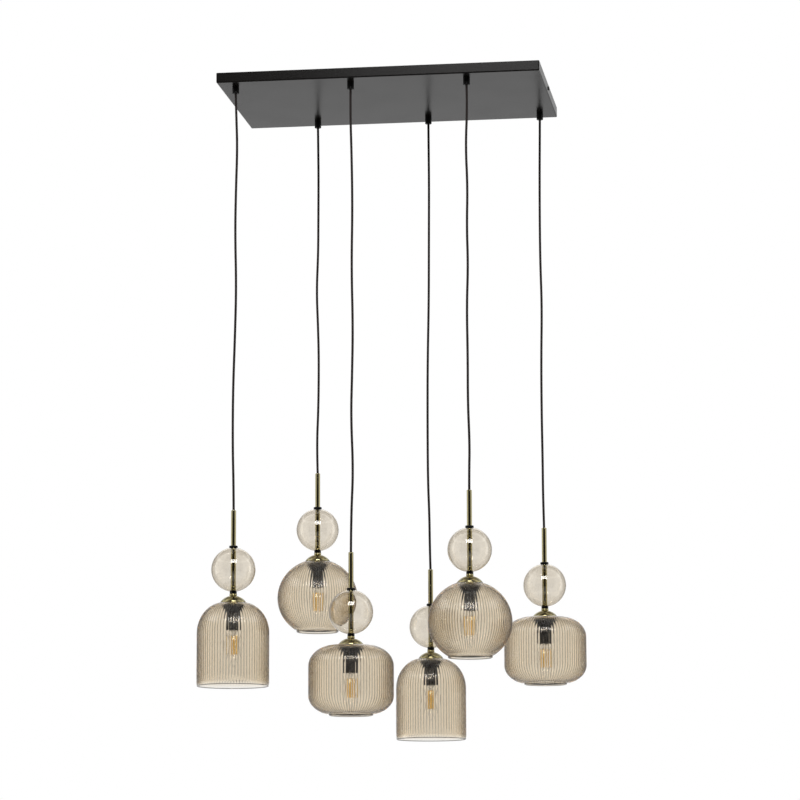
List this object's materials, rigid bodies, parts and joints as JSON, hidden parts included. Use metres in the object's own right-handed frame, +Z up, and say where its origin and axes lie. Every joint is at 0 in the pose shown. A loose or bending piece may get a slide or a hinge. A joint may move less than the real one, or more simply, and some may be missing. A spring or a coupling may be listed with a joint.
{
  "type": "cluster pendant light",
  "caption": "Cluster pendant: a rectangular black ceiling canopy with staggered cords, each carrying a brass stem, a glass ball and a fluted smoke-amber glass shade over a candle bulb.",
  "frame": {"origin": "centre of the canopy's ceiling face, where the mounting rail lies against the ceiling", "axes": "+Z up into the ceiling, +X along the canopy's length, +Y away from the viewer of the picture; the pendants hang towards -Z"},
  "size_m": [0.7963, 0.5094, 1.4182],
  "materials": {
    "black_powder_coat": "matte black powder coat",
    "zinc_steel": "zinc-plated steel",
    "black_screw": "black screw",
    "white_plastic": "white moulded plastic",
    "black_plastic": "black moulded plastic",
    "black_washer": "black washer",
    "black_textile_cord": "black braided textile over flex",
    "polished_brass": "polished brass",
    "ball_glass": "smooth smoke-amber glass",
    "fluted_glass": "fluted smoke-amber glass",
    "clear_bulb_glass": "clear bulb glass"
  },
  "bodies": {
    "root": {"canopy": "black_powder_coat", "mounting_rail": "zinc_steel", "side_screws": "black_screw", "terminal_block": "white_plastic", "cord_grips": "black_plastic", "grip_nuts": "zinc_steel"},
    "flex_1": {"cord_1": "black_textile_cord"},
    "pendant_1": {"stem_1": "polished_brass", "glass_ball_1": "ball_glass", "ball_washers_1": "black_washer", "cap_1": "polished_brass", "bell_shade_1": "fluted_glass", "shade_clamp_1": "black_plastic", "lamp_holder_1": "black_plastic", "bulb_1": "clear_bulb_glass"},
    "flex_2": {"cord_2": "black_textile_cord"},
    "pendant_2": {"stem_2": "polished_brass", "glass_ball_2": "ball_glass", "ball_washers_2": "black_washer", "cap_2": "polished_brass", "round_shade_2": "fluted_glass", "shade_clamp_2": "black_plastic", "lamp_holder_2": "black_plastic", "bulb_2": "clear_bulb_glass"},
    "flex_3": {"cord_3": "black_textile_cord"},
    "pendant_3": {"stem_3": "polished_brass", "glass_ball_3": "ball_glass", "ball_washers_3": "black_washer", "cap_3": "polished_brass", "drum_shade_3": "fluted_glass", "shade_clamp_3": "black_plastic", "lamp_holder_3": "black_plastic", "bulb_3": "clear_bulb_glass"},
    "flex_4": {"cord_4": "black_textile_cord"},
    "pendant_4": {"stem_4": "polished_brass", "glass_ball_4": "ball_glass", "ball_washers_4": "black_washer", "cap_4": "polished_brass", "bell_shade_4": "fluted_glass", "shade_clamp_4": "black_plastic", "lamp_holder_4": "black_plastic", "bulb_4": "clear_bulb_glass"},
    "flex_5": {"cord_5": "black_textile_cord"},
    "pendant_5": {"stem_5": "polished_brass", "glass_ball_5": "ball_glass", "ball_washers_5": "black_washer", "cap_5": "polished_brass", "round_shade_5": "fluted_glass", "shade_clamp_5": "black_plastic", "lamp_holder_5": "black_plastic", "bulb_5": "clear_bulb_glass"},
    "flex_6": {"cord_6": "black_textile_cord"},
    "pendant_6": {"stem_6": "polished_brass", "glass_ball_6": "ball_glass", "ball_washers_6": "black_washer", "cap_6": "polished_brass", "drum_shade_6": "fluted_glass", "shade_clamp_6": "black_plastic", "lamp_holder_6": "black_plastic", "bulb_6": "clear_bulb_glass"}
  },
  "joints": [
    {"name": "swing_1", "type": "hinge", "parent": "root", "child": "flex_1", "pos_m": [-0.315, -0.165, -0.037], "axis": [1, 0, 0], "range_deg": [-4, 4]},
    {"name": "height_1", "type": "slide", "parent": "flex_1", "child": "pendant_1", "axis": [0, 0, 1], "range_m": [0, 0.4], "deforming": ["cord_1"]},
    {"name": "swing_2", "type": "hinge", "parent": "root", "child": "flex_2", "pos_m": [-0.189, 0.165, -0.037], "axis": [1, 0, 0], "range_deg": [-4, 4]},
    {"name": "height_2", "type": "slide", "parent": "flex_2", "child": "pendant_2", "axis": [0, 0, 1], "range_m": [0, 0.4], "deforming": ["cord_2"]},
    {"name": "swing_3", "type": "hinge", "parent": "root", "child": "flex_3", "pos_m": [-0.063, -0.165, -0.037], "axis": [1, 0, 0], "range_deg": [-4, 4]},
    {"name": "height_3", "type": "slide", "parent": "flex_3", "child": "pendant_3", "axis": [0, 0, 1], "range_m": [0, 0.4], "deforming": ["cord_3"]},
    {"name": "swing_4", "type": "hinge", "parent": "root", "child": "flex_4", "pos_m": [0.063, 0.165, -0.037], "axis": [1, 0, 0], "range_deg": [-4, 4]},
    {"name": "height_4", "type": "slide", "parent": "flex_4", "child": "pendant_4", "axis": [0, 0, 1], "range_m": [0, 0.4], "deforming": ["cord_4"]},
    {"name": "swing_5", "type": "hinge", "parent": "root", "child": "flex_5", "pos_m": [0.189, -0.165, -0.037], "axis": [1, 0, 0], "range_deg": [-4, 4]},
    {"name": "height_5", "type": "slide", "parent": "flex_5", "child": "pendant_5", "axis": [0, 0, 1], "range_m": [0, 0.4], "deforming": ["cord_5"]},
    {"name": "swing_6", "type": "hinge", "parent": "root", "child": "flex_6", "pos_m": [0.315, 0.165, -0.037], "axis": [1, 0, 0], "range_deg": [-4, 4]},
    {"name": "height_6", "type": "slide", "parent": "flex_6", "child": "pendant_6", "axis": [0, 0, 1], "range_m": [0, 0.4], "deforming": ["cord_6"]}
  ]
}
